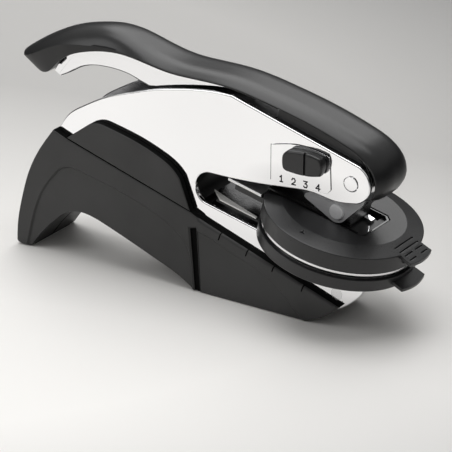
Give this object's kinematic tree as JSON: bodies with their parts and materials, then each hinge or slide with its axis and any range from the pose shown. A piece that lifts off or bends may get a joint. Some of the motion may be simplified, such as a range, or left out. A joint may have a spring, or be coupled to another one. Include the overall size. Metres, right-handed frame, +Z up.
{
  "type": "seal embosser",
  "caption": "Desk seal embosser: arched stand, C-shaped press frame, lever handle and slide-out pair of round dies.",
  "frame": {"origin": "middle of the bounding box on the table plane", "axes": "+X from the handle towards the dies, +Y to the object's left, +Z up"},
  "size_m": [0.1516, 0.052, 0.0811],
  "materials": {
    "frame_plate_right": "bright chrome plate",
    "frame_plate_left": "bright chrome plate",
    "frame_core": "black paint",
    "frame_rivet_1": "plain steel",
    "frame_rivet_2": "plain steel",
    "frame_rivet_3": "plain steel",
    "anvil_plate": "plain steel",
    "jaw_spacer": "plain steel",
    "base_shell_right": "fine-grained charcoal plastic",
    "base_shell_left": "fine-grained charcoal plastic",
    "side_panel_right": "fine-grained charcoal plastic",
    "side_panel_left": "fine-grained charcoal plastic",
    "base_screw_1": "plain steel",
    "base_screw_2": "plain steel",
    "base_screw_3": "plain steel",
    "rear_foot_pad": "black rubber",
    "front_foot_pad": "black rubber",
    "handle_pivot_pin": "bright chrome plate",
    "pivot_washer_right": "plain steel",
    "pivot_washer_left": "plain steel",
    "ram_guide": "black paint",
    "lock_bezel": "bright chrome plate",
    "detent_spring": "spring steel",
    "return_spring": "spring steel",
    "lever": "bright chrome plate",
    "handle_cover": "satin black plastic",
    "cover_screw_1": "plain steel",
    "cover_screw_2": "plain steel",
    "link_pin": "bright chrome plate",
    "ram": "plain steel",
    "upper_die_holder": "satin black plastic",
    "upper_strip": "plain steel",
    "upper_die": "plain steel",
    "retaining_clip": "gloss black",
    "lower_die_holder": "satin black plastic",
    "lower_die": "plain steel",
    "lower_strip": "plain steel",
    "lock_button": "fine-grained black plastic",
    "lock_bar": "plain steel"
  },
  "bodies": {
    "stand": {"frame_plate_right": "frame_plate_right", "frame_plate_left": "frame_plate_left", "frame_core": "frame_core", "frame_rivet_1": "frame_rivet_1", "frame_rivet_2": "frame_rivet_2", "frame_rivet_3": "frame_rivet_3", "anvil_plate": "anvil_plate", "jaw_spacer": "jaw_spacer", "base_shell_right": "base_shell_right", "base_shell_left": "base_shell_left", "side_panel_right": "side_panel_right", "side_panel_left": "side_panel_left", "base_screw_1": "base_screw_1", "base_screw_2": "base_screw_2", "base_screw_3": "base_screw_3", "rear_foot_pad": "rear_foot_pad", "front_foot_pad": "front_foot_pad", "handle_pivot_pin": "handle_pivot_pin", "pivot_washer_right": "pivot_washer_right", "pivot_washer_left": "pivot_washer_left", "ram_guide": "ram_guide", "lock_bezel": "lock_bezel", "detent_spring": "detent_spring", "return_spring": "return_spring"},
    "lever": {"lever": "lever", "handle_cover": "handle_cover", "cover_screw_1": "cover_screw_1", "cover_screw_2": "cover_screw_2", "link_pin": "link_pin"},
    "ram": {"ram": "ram"},
    "upper_die_set": {"upper_die_holder": "upper_die_holder", "upper_strip": "upper_strip", "upper_die": "upper_die", "retaining_clip": "retaining_clip"},
    "lower_die_set": {"lower_die_holder": "lower_die_holder", "lower_die": "lower_die", "lower_strip": "lower_strip"},
    "lock_slide": {"lock_button": "lock_button", "lock_bar": "lock_bar"}
  },
  "joints": [
    {"name": "handle_hinge", "type": "hinge", "parent": "stand", "child": "lever", "pos_m": [0.0547, 0, 0.0501], "axis": [0, 1, 0], "range_deg": [0, 20]},
    {"name": "ram_slide", "type": "slide", "parent": "stand", "child": "ram", "axis": [0.2297, 0, 0.9733], "range_m": [0, 0.0021]},
    {"name": "upper_die_slide", "type": "slide", "parent": "ram", "child": "upper_die_set", "axis": [0.9733, 0, -0.2297], "range_m": [0, 0.03]},
    {"name": "lower_die_slide", "type": "slide", "parent": "stand", "child": "lower_die_set", "axis": [0.9733, 0, -0.2297], "range_m": [0, 0.03]},
    {"name": "lock_slide_joint", "type": "slide", "parent": "stand", "child": "lock_slide", "axis": [1, 0, 0], "range_m": [-0.005, 0]}
  ],
  "couplings": [
    {"joint": "ram_slide", "follows": "handle_hinge", "m_per_rad": 0.005692},
    {"joint": "lower_die_slide", "follows": "upper_die_slide", "ratio": 1}
  ]
}
